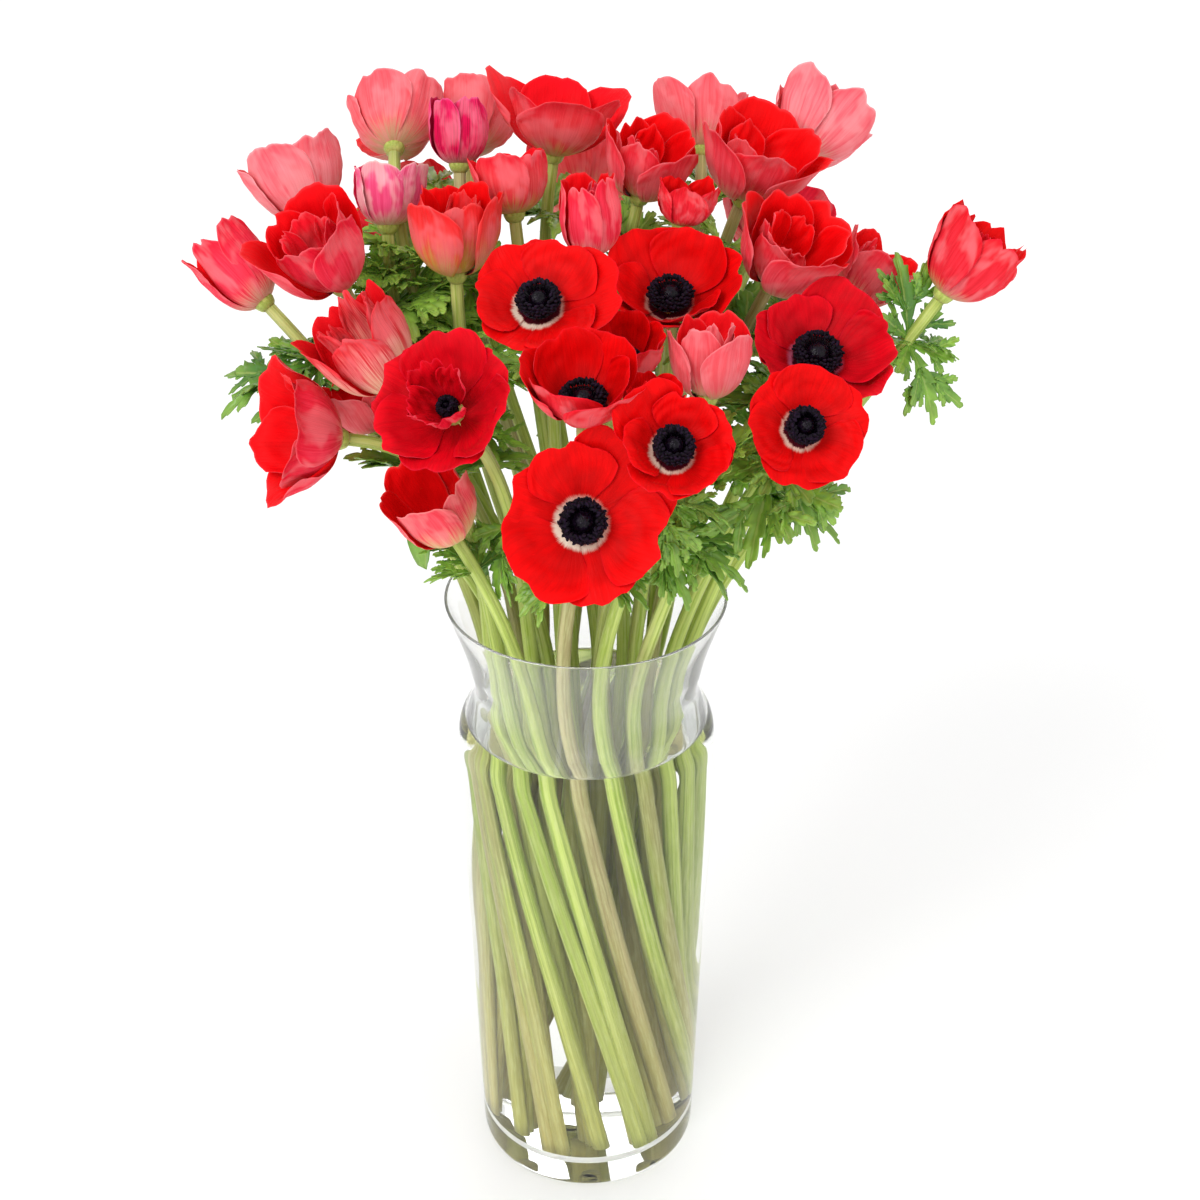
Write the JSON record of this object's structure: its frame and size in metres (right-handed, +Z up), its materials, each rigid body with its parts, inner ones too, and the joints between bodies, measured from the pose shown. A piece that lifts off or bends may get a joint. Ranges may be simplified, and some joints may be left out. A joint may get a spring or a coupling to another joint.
{
  "type": "bouquet of red anemone flowers in a glass vase",
  "caption": "Bouquet of red poppy anemones, buds to wide open blooms with dark centres, on bare stems in a clear glass vase of water.",
  "frame": {"origin": "middle of the vase's flat underside, on the surface that it stands on", "axes": "+Z up along the vase's axis, -Y towards the side that most open blooms face"},
  "size_m": [0.3352, 0.2874, 0.5029],
  "materials": {
    "glass": "clear smooth blown glass",
    "water": "clear still water",
    "petal": "satin red petal, salmon pink outside",
    "dark_centre": "matte purple black button and stamens",
    "green": "satin green stem and leaf"
  },
  "bodies": {
    "root": {"centre_front_bowl": "dark_centre", "centre_front_left_ruffled": "dark_centre", "centre_front_open": "dark_centre", "centre_open_low_right": "dark_centre", "centre_open_right_lower": "dark_centre", "centre_open_right_upper": "dark_centre", "centre_open_upper_left": "dark_centre", "centre_open_upper_right": "dark_centre", "petals_back_left": "petal", "petals_back_low": "petal", "petals_back_middle": "petal", "petals_back_right": "petal", "petals_far_left": "petal", "petals_far_right": "petal", "petals_front_bowl": "petal", "petals_front_left_ruffled": "petal", "petals_front_open": "petal", "petals_left_big": "petal", "petals_left_lilac": "petal", "petals_left_low": "petal", "petals_left_pale": "petal", "petals_left_salmon": "petal", "petals_left_striped": "petal", "petals_low_left_salmon": "petal", "petals_mid_dark": "petal", "petals_mid_left_behind": "petal", "petals_mid_left_salmon": "petal", "petals_mid_narrow": "petal", "petals_open_low_right": "petal", "petals_open_right_lower": "petal", "petals_open_right_upper": "petal", "petals_open_upper_left": "petal", "petals_open_upper_right": "petal", "petals_right_behind": "petal", "petals_right_cup": "petal", "petals_right_salmon": "petal", "petals_small_dark": "petal", "petals_small_mid": "petal", "petals_top_frilled": "petal", "petals_top_left_back": "petal", "petals_top_magenta": "petal", "petals_top_pale_back": "petal", "petals_top_red": "petal", "petals_top_right_big": "petal", "petals_top_right_cup": "petal", "petals_top_right_pale": "petal", "stems_1": "green", "stems_10": "green", "stems_11": "green", "stems_12": "green", "stems_2": "green", "stems_3": "green", "stems_4": "green", "stems_5": "green", "stems_6": "green", "stems_7": "green", "stems_8": "green", "stems_9": "green", "vase": "glass", "water": "water"}
  },
  "joints": []
}
